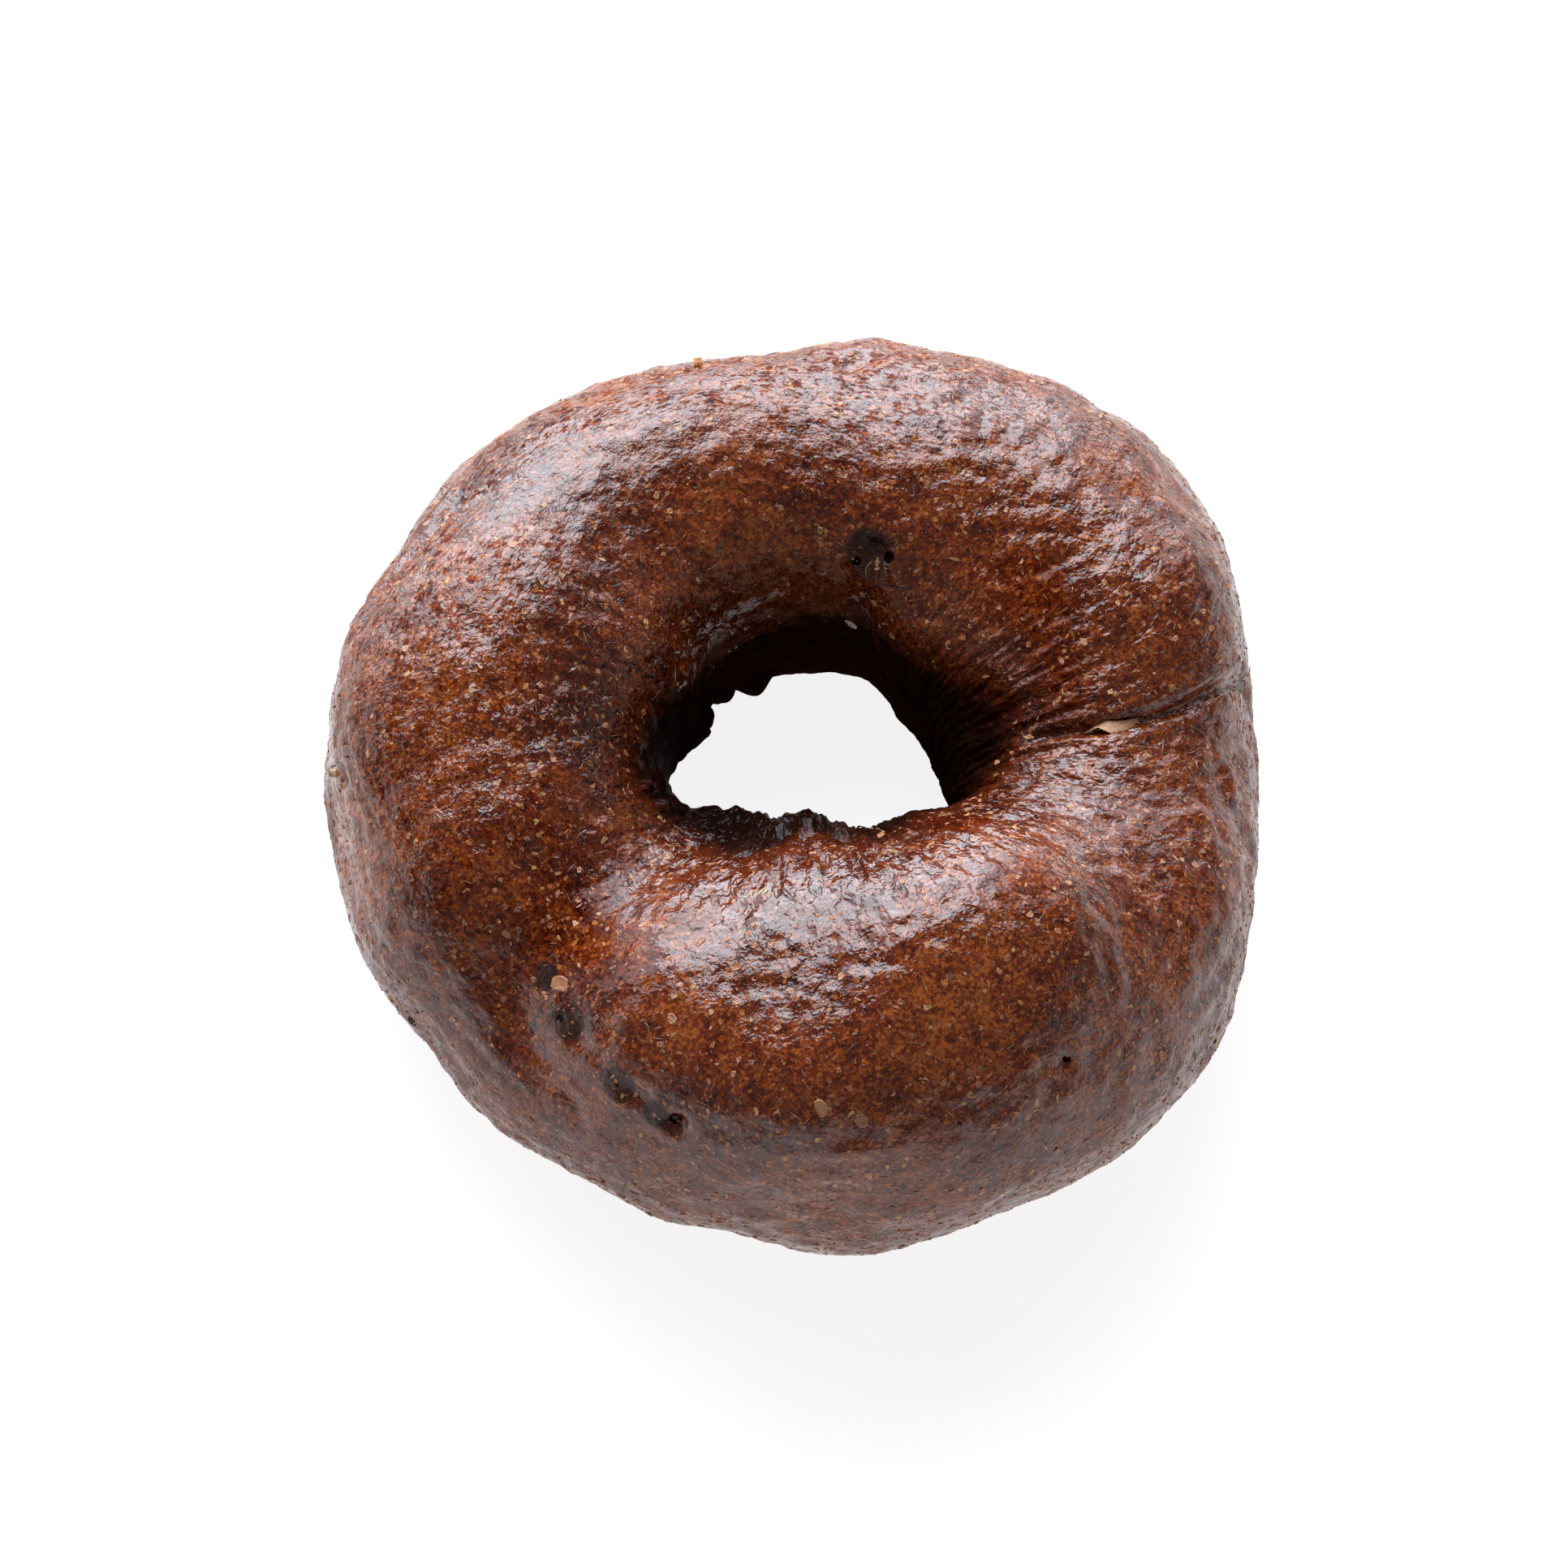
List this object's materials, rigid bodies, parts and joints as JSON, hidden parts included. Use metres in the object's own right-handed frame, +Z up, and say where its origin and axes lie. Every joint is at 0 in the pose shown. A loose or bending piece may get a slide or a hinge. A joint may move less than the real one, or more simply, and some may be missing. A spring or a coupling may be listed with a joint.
{
  "type": "dark wholegrain bagel",
  "caption": "Whole baked bagel: an uneven ring of dark wholegrain bread with a glossy crust, a torn off-centre hole, a pinched seam on one side and a flat base.",
  "frame": {"origin": "centre of the bounding box at the flat base", "axes": "+Z up out of the base, -Y towards the thick front side, +X towards the pinched seam"},
  "size_m": [0.1102, 0.115, 0.045],
  "materials": {
    "crust": "glossy dark brown baked crust, slightly see-through orange-brown, with fine tan bran speckles and low wrinkles"
  },
  "bodies": {
    "root": {"bagel": "crust"}
  },
  "joints": []
}
